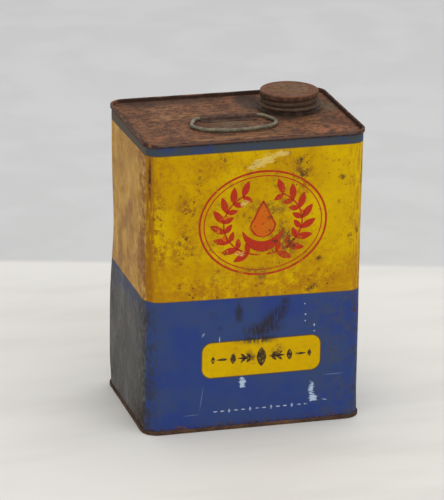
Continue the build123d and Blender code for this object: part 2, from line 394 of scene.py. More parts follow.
class PrintedTin(Graph):
    """The printed wrapper's graph, with the noises and masks that its layers share."""

    def __init__(self, name):
        super().__init__(name)
        self.ragged = self.warped(3, 9)
        self.frayed = self.warped(1.5, 2.6)
        self.broad = self.noise(34, 2, seed=3)
        self.medium = self.noise(11, 4, seed=7)
        self.mottle = self.noise(4.5, 5, 0.65, seed=15)
        self.fine = self.noise(1.3, 4, 0.7, seed=11)
        self.upright = self.noise(1.6, 4, stretch=(1, 1, 7), seed=5)
        self.clouds = self.noise(15, 4, stretch=(1, 1, 1.6), seed=25)
        self.smear = self.plus(self.times(self.medium, 0.45), self.times(self.mottle, 0.55))
        self.grain = self.plus(self.times(self.mottle, 0.5), self.times(self.fine, 0.5))

        # Walls, and where they are dirty
        self.across, self.depth = self.absolute(self.x), self.absolute(self.y)
        self.front = self.ramp(self.y, -50, -56)
        self.on_face = self.ramp(self.depth, 50, 56)
        self.left = self.times(self.ramp(self.x, -70, -76), self.ramp(self.depth, 55.4, 52.8))
        self.dirt = self.most(self.times(self.marks(self.ragged, front_dirt, soft=0.9), self.front), 0.25)
        hazy = self.marks(self.ragged, front_haze, soft=0.8)
        self.haze = self.times(hazy, self.ramp(self.grain, 0.4, 0.56), self.front)
        self.lower_edge = self.plus(self.times(self.x, band_slope), yellow_bottom)


def front_yellow(g):
    """Yellow of the front and the back, browner where it is dirty and low; browner streaks down the rounded
    corners are partly stain, partly painted shade.
    """
    flecks = g.ramp(g.plus(g.grain, g.times(g.medium, 0.3)), 0.635, 0.74)
    streaks = g.ramp(g.plus(g.smear, g.upright), 0.72, 0.94)
    return g.layers(
        (203, 166, 0),
        ((188, 145, 0), g.ramp(g.broad, 0.36, 0.64)),
        ((176, 128, 8), g.ramp(g.smear, 0.46, 0.57), g.plus(g.dirt, 0.15)),
        ((130, 82, 26), flecks, g.dirt, 0.9),
        ((174, 122, 12), g.ramp(g.z, 152, 108), g.ramp(g.z, 88, 96), g.ramp(g.smear, 0.36, 0.52), 0.7),
        ((211, 172, 0), g.ramp(g.z, 96, 88, 0, 0.6)),
        ((207, 172, 4), g.ramp(g.x, 34, 62), g.ramp(g.z, 130, 160), g.on_face, 0.5),
        # Browner streaks down the rounded corners: partly stain, partly painted shade
        ((158, 106, 26), g.ramp(g.across, 66, 86), g.on_face, g.ramp(g.upright, 0.46, 0.6), 0.8),
        ((148, 96, 22), g.ramp(g.x, -79, -82.5), streaks, g.on_face, 0.85),
        ((104, 74, 40), g.haze, 0.8),
    )


def left_yellow(g):
    """Dusty yellow of the left wall, with tanned clouds and brown towards the front corner."""
    tanned = g.ramp(g.plus(g.times(g.broad, 0.65), g.times(g.smear, 0.35)), 0.46, 0.6)
    return g.layers(
        (196, 158, 90),
        ((180, 140, 80), g.ramp(g.clouds, 0.36, 0.62)),
        ((186, 138, 52), g.ramp(g.medium, 0.5, 0.66), 0.6),
        ((138, 98, 76), tanned, g.ramp(g.z, 205, 165, 0.3, 0.6)),
        ((96, 64, 44), g.ramp(g.grain, 0.55, 0.63), g.ramp(g.clouds, 0.35, 0.65, 0.3, 0.9)),
        ((134, 88, 40), g.ramp(g.y, -18, -54), g.ramp(g.smear, 0.42, 0.54), 0.8),
    )


def front_blue(g):
    """Blue of the front and the back, greyer towards the corners."""
    aged = g.most(g.ramp(g.x, 10, 84, 0, 0.75), g.ramp(g.x, -50, -84, 0, 0.5), 0.1)
    return g.layers(
        (45, 64, 124),
        ((52, 70, 116), g.ramp(g.broad, 0.38, 0.62)),
        ((68, 74, 92), g.ramp(g.smear, 0.42, 0.6), aged),
        ((46, 50, 60), g.ramp(g.grain, 0.54, 0.64), g.plus(aged, 0.1), 0.7),
    )


def left_blue(g):
    """The left wall's blue, faded to slate: bluer at the top and brown at the foot."""
    return g.layers(
        (108, 107, 105),
        ((94, 93, 91), g.ramp(g.clouds, 0.36, 0.62)),
        ((96, 98, 104), g.ramp(g.medium, 0.5, 0.66), 0.5),
        ((70, 80, 114), g.ramp(g.z, 84, 104), g.ramp(g.medium, 0.42, 0.56), 0.7),
        ((114, 98, 80), g.ramp(g.smear, 0.52, 0.62), 0.5),
        ((66, 66, 70), g.ramp(g.y, -10, -52), g.ramp(g.smear, 0.38, 0.52), 0.6),
        ((72, 68, 66), g.ramp(g.plus(g.grain, g.upright), 1.02, 1.2), 0.7),
        ((60, 50, 42), g.ramp(g.z, 30, 6), g.ramp(g.y, 0, -48), g.ramp(g.smear, 0.4, 0.54), 0.8),
    )


def printed_bands(g):
    """The colours where they are printed: blue, yellow, a smutty upper band and the plate."""
    yellow = g.mix(front_yellow(g), left_yellow(g), g.left)
    blue = g.mix(front_blue(g), left_blue(g), g.left)
    smutty = g.mix((52, 65, 104), (62, 70, 78), g.ramp(g.noise(20, 4, seed=21), 0.36, 0.5))
    smutty = g.mix(smutty, (91, 84, 74), g.left)
    blue = g.mix(blue, smutty, g.ramp(g.z, yellow_top - 4, yellow_top))

    above = g.ramp(g.minus(g.z, g.lower_edge), -edge_soft, edge_soft)
    lowered = g.times(g.left, g.ramp(g.y, -60, 60), 2.4)
    below = g.ramp(g.plus(g.z, lowered), yellow_top + edge_soft, yellow_top - edge_soft)
    plate = plate_distance(g)
    inside = g.times(g.ramp(plate, 0.2, -0.2), g.on_face)
    colour = g.mix(blue, yellow, g.most(g.times(above, below), inside))

    # A thin dark line round the plate, and a weaker one along the bands
    line = g.ramp(g.absolute(plate), edge_line, edge_line * 0.4)
    for edge in (g.lower_edge, yellow_top):
        along = g.ramp(g.absolute(g.minus(g.z, edge)), edge_line, edge_line * 0.4, 0, 0.6)
        line = g.most(line, along)
    return g.mix(colour, (74, 60, 44), line, g.on_face, 0.7)


def plate_distance(g):
    """Distance to the edge of the rounded plate on the front and the back, negative inside."""
    facing = g.times(g.math("SIGN", g.y), -1)
    flat = g.node("ShaderNodeCombineXYZ", {"X": g.times(g.x, facing), "Y": 0, "Z": g.z}).outputs[0]
    centred = g.vector("SUBTRACT", flat, (plate_centre[0], 0, plate_centre[1]))
    core = (plate_half[0] - plate_radius, 0, plate_half[1] - plate_radius)
    beyond = g.vector("SUBTRACT", g.vector("ABSOLUTE", centred), core)
    outside = g.vector("LENGTH", g.vector("MAXIMUM", beyond, (0, 0, 0)))
    return g.minus(outside, plate_radius)


def stains_and_corner_shade(g):
    """Streaked stains above the plate, and dirt with painted shade down the rounded corners of the blue."""
    # Darker down the rounded corners of the blue: partly dirt, partly painted shade
    corners = g.times(g.ramp(g.across, 72, 85), g.ramp(g.depth, 40, 54))
    corners = g.times(corners, g.ramp(g.z, g.lower_edge, g.minus(g.lower_edge, 10)))
    patches = g.plus(g.times(g.upright, 0.5), g.times(g.grain, 0.5), g.smear)
    streaks = g.ramp(g.plus(g.upright, g.grain), 0.8, 1.02)
    stains = g.times(g.marks(g.frayed, front_stains, soft=0.8), streaks, g.front)
    return g.most(stains, g.times(corners, g.ramp(patches, 0.92, 1.1), 0.55))


def rust_freckles(g):
    """Small spots in three sizes, dense where the yellow is dirty and few on the blue."""
    sizes = ((5, 1.9, 0.34, 2), (2.6, 0.9, 0.4, 9), (1.3, 0.45, 0.45, 19))
    found = g.most(*(g.spots(*size) for size in sizes))
    dirty = g.ramp(g.plus(g.dirt, g.medium), 0.55, 1.15, 0.15, 1)
    on_yellow = g.ramp(g.z, g.lower_edge, g.plus(g.lower_edge, 1), 0.3, 1)
    return g.times(found, dirty, on_yellow, g.ramp(g.x, -76, -52, 0.35, 1))


def bare_rust(g):
    """Rust through the print: down the crease of the left corner, along the seams and in spots."""
    crease = g.blob(g.warped(0.7, 3), (-83.1, -57.6, 205), (1.7, 1.7, 23))
    crease = g.times(crease, g.ramp(g.z, 186, 200, 0.5, 1), g.ramp(g.grain, 0.4, 0.5))
    seams = g.times(g.most(g.ramp(g.z, 8, 3), g.ramp(g.z, 228.5, 231.5)), g.ramp(g.mottle, 0.4, 0.6))
    worn = g.times(g.marks(g.frayed, front_rust), g.ramp(g.grain, 0.4, 0.54), g.front)
    return g.most(crease, g.times(seams, 0.7), worn)


def scuffed(g, colour):
    """The colour with scuffs down to pale primer, solid in the middle and broken at their edges."""
    strokes = g.times(g.minus(g.noise(1.2, 3, stretch=(3.5, 1, 0.8), seed=81), 0.5), 2.6)
    creamy = g.marks(g.frayed, front_pale)
    creamy = g.times(g.ramp(g.plus(creamy, strokes), 0.35, 0.8), g.ramp(creamy, 0, 0.3), g.front)
    scuffs = g.marks(g.frayed, front_scuffs, soft=0.9)
    scuffs = g.times(g.ramp(g.plus(scuffs, strokes), 0.4, 0.75), g.ramp(scuffs, 0, 0.25), g.front)
    chips = g.times(g.marks(g.place, front_chips, soft=0.8), g.front)
    return g.layers(colour, ((216, 192, 112), creamy, 0.7), ((178, 198, 220), g.most(scuffs, chips), 0.9))


def printed_tin(name, ink=None):
    """Litho-printed tinplate, in its own bands or in an ink, under grime, freckles and rust."""
    g = PrintedTin(name)
    colour = printed_bands(g)
    if ink is not None:
        kept = g.ramp(g.plus(g.fine, g.times(g.medium, 0.7)), 0.94, 1.04, 0.97, 0.25)
        colour = g.mix(colour, ink, kept, g.minus(1, g.times(g.haze, 0.5)))

    stains, freckles, rust = stains_and_corner_shade(g), rust_freckles(g), bare_rust(g)
    spots = g.times(g.marks(g.frayed, front_spots, soft=0.75), g.ramp(g.grain, 0.43, 0.53), g.front)
    rusty = g.mix((50, 38, 32), (112, 74, 48), g.ramp(g.fine, 0.46, 0.6))
    colour = g.layers(
        colour,
        # Stains, and painted shade down the corners of the blue
        ((50, 46, 44), stains, 0.88),
        ((78, 46, 36), spots, 0.9),
        ((84, 52, 34), freckles, 0.85),
        (rusty, rust),
    )
    colour = scuffed(g, colour)

    # Bare tinplate on the faces that look inward
    outward = g.vector("DOT_PRODUCT", g.normal, g.vector("MULTIPLY", g.place, (1, 1, 0)))
    bare = g.mix((112, 106, 96), (84, 60, 46), g.ramp(g.smear, 0.44, 0.58))
    colour = g.mix(colour, bare, g.ramp(outward, 0, -20))

    dull = g.most(rust, stains, spots, freckles, g.left)
    height = g.plus(g.times(g.ramp(g.mottle, 0.5, 0.7), 0.3), g.times(g.fine, 0.4))
    return g.finish(colour, g.ramp(dull, 0, 1, 0.42, 0.85), height, bump=0.2, gloss=0.05)


def rusted_lid():
    """Bare tinplate of the upper end under old rust, with its stains, painted shadows by the clip and the
    cap, and its seam.
    """
    g = Graph("lid_rust")
    level = panel_top / mm
    ragged = g.warped(4, 12)
    streak = g.noise(1.2, 4, 0.65, stretch=(2.4, 1, 1), seed=2)
    band = g.noise(4.5, 5, 0.65, stretch=(1.8, 1, 1), seed=22)
    broad = g.noise(20, 3, seed=6)
    mottle = g.noise(5, 6, 0.7, seed=12)
    fine = g.noise(0.9, 4, 0.7, seed=8)
    tones = g.plus(g.times(streak, 0.6), g.times(band, 0.5), g.times(mottle, 0.5))
    lively = g.ramp(g.plus(mottle, g.times(fine, 0.5)), 0.68, 0.84)
    dark_spots = g.most(g.spots(3.2, 1, 0.3, 4), g.spots(1.6, 0.55, 0.4, 34))
    patchy = g.ramp(mottle, 0.2, 0.5, 0.55, 1)

    # The seam: painted shade down its inside and painted shadow at its lower edge; its crest brown, partly
    # a painted highlight; rests of print
    across, depth = g.absolute(g.x), g.absolute(g.y)
    seam_shade_mask = g.most(g.ramp(across, 83.6, 85.2), g.ramp(depth, 58.6, 60.2))
    crest = g.times(g.ramp(g.z, 232.8, 233.8), g.ramp(band, 0.42, 0.62))
    on_side = g.ramp(across, 86.5, 87.2)
    outside = g.most(on_side, g.ramp(depth, 61.5, 62.2))
    # The seam's outer face: brown, darker towards its lower edge with painted shadow
    brown = g.mix((104, 74, 58), (46, 35, 30), g.ramp(g.z, 232.8, 231.2))
    brown = g.mix(brown, g.mix((60, 68, 88), (74, 70, 64), on_side), g.ramp(mottle, 0.5, 0.6), 0.6)
    colour = g.layers(
        (64, 43, 33),
        ((138, 95, 62), g.ramp(tones, 0.68, 0.92)),
        ((112, 66, 52), g.ramp(mottle, 0.45, 0.62), 0.5),
        ((70, 49, 44), g.ramp(broad, 0.46, 0.62), 0.6),
        ((146, 108, 70), g.marks(ragged, lid_gold, level, 0.9), g.ramp(band, 0.42, 0.6), 0.8),
        ((158, 94, 60), g.marks(ragged, lid_orange, level, 0.9), lively, 0.8),
        ((84, 80, 64), g.marks(ragged, lid_green, level, 0.9), g.ramp(mottle, 0.3, 0.55), 0.75),
        # Dark stains, and painted shadows by the clip and in front of the cap
        ((50, 42, 38), g.marks(ragged, lid_dark_stains_and_shadows, level, 0.6), patchy, 0.8),
        ((152, 108, 72), g.ramp(fine, 0.54, 0.68, 0, 0.45)),
        ((48, 34, 29), dark_spots, 0.7),
        ((176, 132, 90), g.spots(4, 0.8, 0.25, 14), 0.6),
        # Painted shade down the seam's inside, with the crest lighter in places, partly a painted highlight
        (g.mix((56, 40, 34), (112, 80, 60), crest), seam_shade_mask, 0.9),
        (brown, outside, g.ramp(g.z, 233.7, 233.2)),
    )
    height = g.plus(g.times(fine, 0.5), g.times(g.plus(streak, mottle), 0.4))
    return g.finish(colour, g.ramp(broad, 0.3, 0.7, 0.66, 0.86), height, bump=0.5, gloss=0.12)


def rusted_base():
    """Dark rust of the lower end and its seam, with orange spots."""
    g = Graph("base_rust")
    fine = g.noise(1, 4, 0.7, seed=3)
    colour = g.layers(
        (64, 48, 39),
        ((96, 71, 54), g.ramp(g.noise(16, 8, 0.72, seed=5), 0.4, 0.64)),
        ((150, 92, 50), g.ramp(g.noise(7, 5, 0.7, seed=9), 0.62, 0.7), 0.7),
        ((46, 35, 30), g.ramp(fine, 0.5, 0.68, 0, 0.7)),
    )
    return g.finish(colour, 0.85, fine, bump=0.5)


def rusted_cap():
    """Rust on the screw cap: warm on its top, dark down the side, with painted shade in the thread's
    grooves.
    """
    g = Graph("cap_rust")
    top_level, wall = cap_high.z / mm, cap_radius / mm
    fine = g.noise(0.8, 4, 0.7, seed=2)
    broad = g.noise(9, 4, seed=4)
    mottle = g.noise(3.4, 6, 0.7, seed=6)
    from_axis = g.vector("SUBTRACT", g.place, (axis_x / mm, axis_y / mm, 0))
    radius = g.vector("LENGTH", g.vector("MULTIPLY", from_axis, (1, 1, 0)))
    top = g.layers(
        (110, 72, 52),
        ((110, 82, 56), g.ramp(g.plus(radius, g.times(broad, 9)), 22, 17)),
        ((80, 55, 44), g.ramp(mottle, 0.47, 0.6), 0.75),
        ((150, 106, 70), g.ramp(g.noise(2.4, 5, 0.7, seed=16), 0.55, 0.67), 0.7),
        ((60, 42, 35), g.ramp(fine, 0.53, 0.66, 0, 0.55)),
    )
    dusty = g.mix((74, 58, 46), (92, 76, 62), g.ramp(mottle, 0.45, 0.65))
    groove_shade = g.times(g.ramp(radius, wall - 0.25, wall - 0.9), g.ramp(g.z, 245.4, 245))
    colour = g.layers(
        (70, 47, 36),
        ((96, 66, 52), g.ramp(g.noise(4, 5, seed=26), 0.42, 0.62)),
        (dusty, g.ramp(g.z, top_level - 3.6, top_level - 6), 0.8),
        # Painted shade in the thread's grooves
        ((62, 44, 34), groove_shade, 0.8),
        (top, g.ramp(g.z, top_level - 1.2, top_level - 0.3)),
        ((44, 32, 27), g.spots(1.8, 0.55, 0.4, 8), 0.6),
    )
    return g.finish(colour, g.ramp(broad, 0.3, 0.7, 0.6, 0.85), fine, bump=0.35, gloss=0.12)


def dull_tin(name, light, dark, stain, roughness, seed, metallic=0.0, gloss=0.2, patch=0.85, foot=None):
    """Tarnished plate, wire, solder or worn ink: two tones, a stain in patches and a fine grain.

    A piece with a foot height, in millimetres, is brown with painted shade below it.
    """
    g = Graph(name)
    fine = g.noise(0.7, 4, 0.7, seed=seed)
    broad = g.noise(5, 5, seed=seed + 3)
    patches = g.noise(2.6, 5, 0.7, seed=seed + 5)
    colour = g.mix(dark, light, g.ramp(broad, 0.38, 0.62))
    colour = g.mix(colour, stain, g.ramp(patches, 0.5, 0.64, 0, patch))
    if foot is not None:
        # Painted shade below the foot height
        foot_shade = g.mix((50, 39, 33), (80, 60, 49), g.ramp(broad, 0.4, 0.6))
        colour = g.mix(colour, foot_shade, g.ramp(g.z, foot + 2, foot))
    rough = g.ramp(fine, 0.3, 0.7, roughness - 0.1, roughness + 0.15)
    return g.finish(colour, rough, fine, bump=0.25, metallic=metallic, gloss=gloss)


# Meshes

def grid_faces(rows, columns, close_rows=False):
    """Quads between rings of points that lie one after another."""
    faces = []
    for row in range(rows if close_rows else rows - 1):
        here, there = row * columns, (row + 1) % rows * columns
        for column in range(columns):
            after = (column + 1) % columns
            faces.append((here + column, here + after, there + after, there + column))
    return faces


def add_object(name, data):
    made = bpy.data.objects.new(name, data)
    bpy.context.scene.collection.objects.link(made)
    return made


def add_piece(name, points, faces, body, slot, material, *nodes):
    mesh = bpy.data.meshes.new(name)
    mesh.from_pydata([tuple(point) for point in points], [], faces)
    mesh.validate()
    mesh.shade_smooth()
    mesh.set_sharp_from_angle(angle=sharp_angle)
    mesh.materials.append(material)
    piece = add_object(name, mesh)
    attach(piece, body)
    if nodes:
        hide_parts(*nodes)


def even(start, end, steps):
    """Even places from the start to the end, with both."""
    return [start + (end - start) * index / steps for index in range(steps + 1)]


def stations(start, end, step):
    """Even places about a step apart, from the start up to one before the end."""
    return even(start, end, max(1, round(abs(end - start) / step)))[:-1]


def rounded_loop(extra_right=()):
    """Stations round the wall line: (x, y, outward x, outward y), from the right side's front."""
    core_x, core_y = half_x - corner_radius, half_y - corner_radius
    loop = []
    for quarter, (nx, ny) in enumerate(((1, 0), (0, 1), (-1, 0), (0, -1))):
        reach, straight = ((half_x, core_y), (half_y, core_x))[quarter % 2]
        run = {*stations(-straight, straight, wall_step), *(() if quarter else extra_right)}
        loop += [(nx * reach - ny * along, ny * reach + nx * along, nx, ny) for along in sorted(run)]
        for angle in even(90 * quarter, 90 * quarter + 90, corner_steps)[:-1]:
            turn = radians(angle)
            x = (nx - ny) * core_x + corner_radius * cos(turn)
            y = (nx + ny) * core_y + corner_radius * sin(turn)
            loop.append((x, y, cos(turn), sin(turn)))
    return loop


# Dents in the wrapper, in millimetres: centre, radii and outward push
dents = (
    ((-84, 56, 50), (26, 26, 40), 2.6),
    ((-84, 56, 138), (20, 24, 34), -1.5),
    ((-86, -10, 52), (30, 36, 40), -1.3),
    ((-84, -58, 92), (9, 9, 15), -1.5),
    ((-86, 10, 160), (30, 40, 40), -0.6),
    ((40, -61, 175), (46, 30, 40), -0.6),
    ((-30, -61, 60), (40, 30, 40), -0.5),
    ((60, -61, 40), (30, 30, 34), -0.5),
    ((10, 61, 120), (60, 30, 60), -0.9),
    ((86, -10, 110), (30, 40, 60), -0.8),
)
dent_falloff = 2.718
dent_end_fade = (4, 24)
dent_seam_fade = (0, 3)
wall_ripple = 0.25
ripple_size = 38
ripple_bias = 0.6
push_margin = 0.1


def smooth_share(value, low, high):
    share = min(max((value - low) / (high - low), 0), 1)
    return share * share * (3 - 2 * share)


def near_side_seam(x, y):
    return x > half_x - seam_clear_x and solder_low.y - seam_clear_y < y < solder_high.y + seam_clear_y


def wall_push(x, y, z):
    """How far the wrapper is pushed outward at a place, from its dents and ripples."""
    place = Vector((x, y, z)) / mm
    push = wall_ripple * (noise.noise(place / ripple_size) - ripple_bias)
    for centre, radii, depth in dents:
        away = [(place[axis] - centre[axis]) / radii[axis] for axis in range(3)]
        push += depth * dent_falloff ** -sum(value * value for value in away)
    push *= smooth_share(min(place.z, rim_top / mm - place.z), *dent_end_fade)
    if near_side_seam(x, y):
        push *= smooth_share(abs(x - half_x) / mm, *dent_seam_fade)
    most = seam_overhang / mm - push_margin
    return (most * tanh(push / most) if push > 0 else push) * mm


def wrapper():
    """The folded body wrapper with its dents and the groove of the side seam."""
    edges = (solder_low.y - groove_edge, solder_low.y, solder_high.y, solder_high.y + groove_edge)
    loop = rounded_loop(edges)
    high = rim_top - wall_end
    levels = [*stations(wall_end, high, wall_step), high]
    points = []
    for inward, rows in ((0, levels), (sheet, levels[::-1])):
        for z in rows:
            for x, y, nx, ny in loop:
                grooved = x > half_x - mm and edges[0] < y < edges[3]
                push = wall_push(x, y, z) - (groove_depth if grooved else 0) - inward
                points.append((x + nx * push, y + ny * push, z))
    faces = grid_faces(2 * len(levels), len(loop), close_rows=True)
    add_piece("tin_wrapper", points, faces, "tin", "painted_tinplate", paint, "body_shell")


def arc(centre, radius, start, end, steps=5):
    turns = [radians(turn) for turn in even(start, end, steps)]
    return [(centre[0] + radius * cos(turn), centre[1] + radius * sin(turn)) for turn in turns]


def seam_profile():
    """Section of a double seam and the panel's edge: outward from the wall line, up from the top."""
    inner = -seam_inside
    panel = (inner - panel_bend - panel_edge_run, -countersink)
    foot = (inner - panel_bend, -countersink + panel_bend)
    crown_in = (inner + seam_edge_bend, -seam_edge_bend)
    crown_out = (seam_overhang - seam_edge_bend, -seam_edge_bend)
    fold = (seam_overhang - seam_foot_bend, -seam_height + seam_foot_bend)
    return [
        panel,
        *arc(foot, panel_bend, -90, 0),
        (inner, -countersink / 2),
        *arc(crown_in, seam_edge_bend, 180, 90),
        *arc(crown_out, seam_edge_bend, 90, 0),
        (seam_overhang - seam_waist, -seam_height / 2),
        *arc(fold, seam_foot_bend, 0, -140),
        (-tuck_reach, -seam_height + tuck_depth),
    ]


# Unevenness of the ends: a seam gives inward, and less downward, and a panel is a little wavy
seam_wave, seam_ripple, seam_ripple_share = 21 * mm, 6 * mm, 0.4
seam_bias, seam_give, seam_rise_share = 1.2, 0.11 * mm, 0.8
panel_wave, panel_bias, panel_warp = 26 * mm, 0.5, 0.25 * mm

# Grid of points on a panel, inside a smaller rounded rectangle
grid_columns, grid_rows = 24, 17
grid_step_x, grid_step_y = 3.5 * mm, 3.5 * mm * 0.98
grid_shift_y = 0.1 * mm
grid_inset, grid_corner = 5 * mm, 9 * mm
hole_margin, hole_slack = 1.5 * mm, 0.05 * mm
join_distance = 1e-7


def end_panel(name, top, up, holed, material, slot, node):
    """A stamped end: the seam carried round the tin, and its panel with an optional hole."""
    profile = seam_profile()
    loop = rounded_loop()
    points = []
    for out, rise in profile:
        for x, y, nx, ny in loop:
            place = Vector((x, y, top))
            wobble = noise.noise(place / seam_wave) + seam_ripple_share * noise.noise(place / seam_ripple)
            give = (wobble - seam_bias) * seam_give
            level = top + up * (rise + give * seam_rise_share)
            points.append(Vector((x + nx * (out + give), y + ny * (out + give), level)))
    faces = grid_faces(len(profile), len(loop))
    if up < 0:
        faces = [face[::-1] for face in faces]
    edge = points[: len(loop)]
    add_panel(points, faces, edge, top - up * countersink, up, holed)
    add_piece(name, points, faces, "tin", slot, material, node)


def from_neck(place):
    """How far a place is from the neck's axis."""
    return hypot(place.x - axis_x, place.y - axis_y)


def panel_grid():
    """Points over a panel, clear of its rounded edge."""
    found = []
    core_x, core_y = half_x - grid_inset - grid_corner, half_y - grid_inset - grid_corner
    for column in range(-grid_columns, grid_columns + 1):
        for row in range(-grid_rows, grid_rows + 1):
            x, y = column * grid_step_x, row * grid_step_y + grid_shift_y
            if hypot(max(abs(x) - core_x, 0), max(abs(y) - core_y, 0)) <= grid_corner:
                found.append(Vector((x, y)))
    return found


def add_panel(points, faces, edge, level, up, holed):
    """Fill the seam's inner edge with a slightly uneven sheet, leaving a round hole for the neck."""
    flat = [Vector((point.x, point.y)) for point in edge]
    borders = [list(range(len(flat)))]
    if holed:
        borders.append(list(range(len(flat), len(flat) + hole_steps)))
        for turn in even(0, 2 * pi, hole_steps)[:-1]:
            flat.append(Vector((axis_x + hole_radius * cos(turn), axis_y + hole_radius * sin(turn))))
    nearest = hole_radius + hole_margin if holed else 0
    flat += [place for place in panel_grid() if from_neck(place) >= nearest]

    edges = [(a, b) for border in borders for a, b in zip(border, border[1:] + border[:1])]
    made, _, triangles, *_ = geometry.delaunay_2d_cdt(flat, edges, [], 0, join_distance)
    start = len(points)
    for index, point in enumerate(made):
        warp = 0
        if index >= len(edges):
            place = Vector((point.x, point.y, level))
            warp = (noise.noise(place / panel_wave) - panel_bias) * panel_warp
        points.append(Vector((point.x, point.y, level + up * warp)))
    for triangle in triangles:
        middle = sum((made[i] for i in triangle), Vector((0, 0))) / 3
        if holed and from_neck(middle) < hole_radius - hole_slack:
            continue
        face = tuple(start + i for i in triangle)
        faces.append(face if up > 0 else face[::-1])


def thread_push(turn, height, turns):
    """Depth of the rolled thread at an angle (degrees) and a height, fading at both ends."""
    best = 0
    for lap in range(-1, 3):
        along = turn + 360 * lap
        if not turns[0] <= along <= turns[1]:
            continue
        centre = thread_front_height + thread_pitch * (along + 90) / 360
        if turns is neck_thread_turns:
            centre -= thread_pitch / 2
        reach = min(along - turns[0], turns[1] - along, thread_fade) / thread_fade
        slope = smooth_share(abs(height - centre), thread_foot, thread_crest)
        best = max(best, slope * reach * (2 - reach))
    return best * thread_depth


# Lumps in the round pieces: waves round the axis, their height, and where they begin
lump_waves, lump_bias = 2.2, 0.7
lump_height, lump_from_radius = 9 * mm, 2 * mm
cap_lumps, neck_lumps = 0.12 * mm, 0.04 * mm


def turned(name, profile, wobble, turns, sign, body, slot, material, node):
    """A round piece about the neck's axis; threaded points move in or out with the thread."""
    points = []
    for radius, z, threaded in profile:
        for turn in even(-180, 180, round_steps)[:-1]:
            away = radius + (sign * thread_push(turn, z, turns) if threaded else 0)
            direction = Vector((cos(radians(turn)), sin(radians(turn)), 0))
            lump = noise.noise(direction * lump_waves + Vector((0, 0, z / lump_height))) - lump_bias
            away += lump * wobble if radius > lump_from_radius else 0
            points.append(Vector((axis_x, axis_y, z)) + direction * away)
    add_piece(name, points, grid_faces(len(profile), round_steps), body, slot, material, node)


def plain(places):
    return [(radius, z, False) for radius, z in places]


def threaded_wall(radius, start, end, steps):
    """Threaded points straight up or down a wall, with both ends."""
    return [(radius, z, True) for z in even(start, end, steps)]


def cap_profile():
    """Outside of the cap from the middle of its top to the curl, then its inside back up."""
    top, foot = cap_high.z, cap_low.z
    bend = (cap_radius - cap_edge_bend, top - cap_edge_bend)
    skirt_top, skirt_foot = top - cap_edge_bend, foot + 2 * curl_radius
    curl = (cap_radius + curl_radius - sheet, foot + curl_radius)
    face = [(r, top - (cap_sink if r < cap_sink_radius else 0)) for r in cap_top_radii]
    return [
        *plain(face),
        *plain(arc(bend, cap_edge_bend, 90, 0, 8)),
        *threaded_wall(cap_radius, skirt_top, skirt_foot, cap_wall_steps)[1:-1],
        *plain(arc(curl, curl_radius, *curl_angles, 16)),
        *threaded_wall(cap_radius - sheet, skirt_foot, skirt_top, cap_wall_steps)[:-1],
        *plain(arc(bend, cap_edge_bend - sheet, 0, 90, 5)),
        *plain((r, top - sheet) for r in cap_roof_radii),
    ]


def neck_profile():
    """Outside of the neck from its flange to the lip, then its inside back down."""
    foot, top = neck_low.z, neck_high.z
    inside, bore = neck_radius - sheet, neck_radius - 2 * lip_radius
    start, end = foot + sheet + neck_foot_bend, top - lip_radius
    hem = end - lip_drop
    return [
        *plain([(flange_radius, foot), (flange_radius, foot + sheet)]),
        *plain(arc((neck_radius + neck_foot_bend, start), neck_foot_bend, -90, -180)),
        *threaded_wall(neck_radius, start, end, neck_wall_steps)[1:],
        *plain(arc((neck_radius - lip_radius, end), lip_radius, 0, 180, 10)),
        *plain([(bore, hem), (bore + sheet, hem), (bore + sheet, end), (inside, end)]),
        *threaded_wall(inside, end, start, neck_wall_steps)[1:],
        (inside, foot, False),
    ]


# Print on the front and, turned half round, on the back: in millimetres and degrees
print_lift = 0.07
print_centre = (5, 166)
outer_oval = (50, 41)
inner_oval = (46.4, 37.4)
oval_steps = 120
wreath_oval = (31, 25.5)
wreath_turns, wreath_steps = (-84, 62), 40
leaf_steps = 14
least_half = 0.02
drop_height, drop_below, drop_width = 28, 11, 9.6
drop_waist, drop_fill, drop_steps = 0.34, 0.86, 30
dish_half, dish_depth, dish_rise = 19, 27, 8


def wall_point(side, x, z):
    """Point just proud of the front wall (side 1) or the back wall (side -1)."""
    place = (side * x * mm, -side * half_y, z * mm)
    return (place[0], -side * (half_y + wall_push(*place) + print_lift * mm), place[2])


def ribbon(shapes, line, halves):
    """A band along a line of (x, z), with its own half width at each point."""
    edges = []
    for index, (x, z) in enumerate(line):
        before, after = line[max(index - 1, 0)], line[min(index + 1, len(line) - 1)]
        along = Vector((after[0] - before[0], after[1] - before[1])).normalized()
        half = halves[index]
        edges.append((x - along.y * half, z + along.x * half))
        edges.append((x + along.y * half, z - along.x * half))
    shapes.append(edges)


def stroke(shapes, line, width):
    ribbon(shapes, line, [width / 2] * len(line))


def leaf_halves(width, count, widest):
    """Half widths of a leaf, which is widest at a share of its length."""
    halves = []
    for share in even(0, 1, count - 1):
        bulge = share / widest if share < widest else (1 - share) / (1 - widest)
        halves.append(max(width / 2 * sin(pi / 2 * bulge) ** 0.8 if bulge > 0 else 0, least_half))
    return halves


def leaf(shapes, x, z, angle, length, width, widest=0.45):
    """A leaf from its foot at (x, z), pointing at an angle in degrees."""
    turn = radians(angle)
    line = [(x + way * cos(turn), z + way * sin(turn)) for way in even(0, length, leaf_steps)]
    ribbon(shapes, line, leaf_halves(width, len(line), widest))


def add_print(name, shapes, material):
    points, faces = [], []
    for side in (1, -1):
        for edges in shapes:
            start = len(points)
            points += [wall_point(side, x, z) for x, z in edges]
            for a in range(start, start + len(edges) - 2, 2):
                faces.append((a + 1, a, a + 2, a + 3))
    add_piece(name, points, faces, "tin", "painted_tinplate", material)


def oval_line(radius_x, radius_z):
    centre_x, centre_z = print_centre
    turns = even(0, 2 * pi, oval_steps)
    return [(centre_x + radius_x * cos(turn), centre_z + radius_z * sin(turn)) for turn in turns]


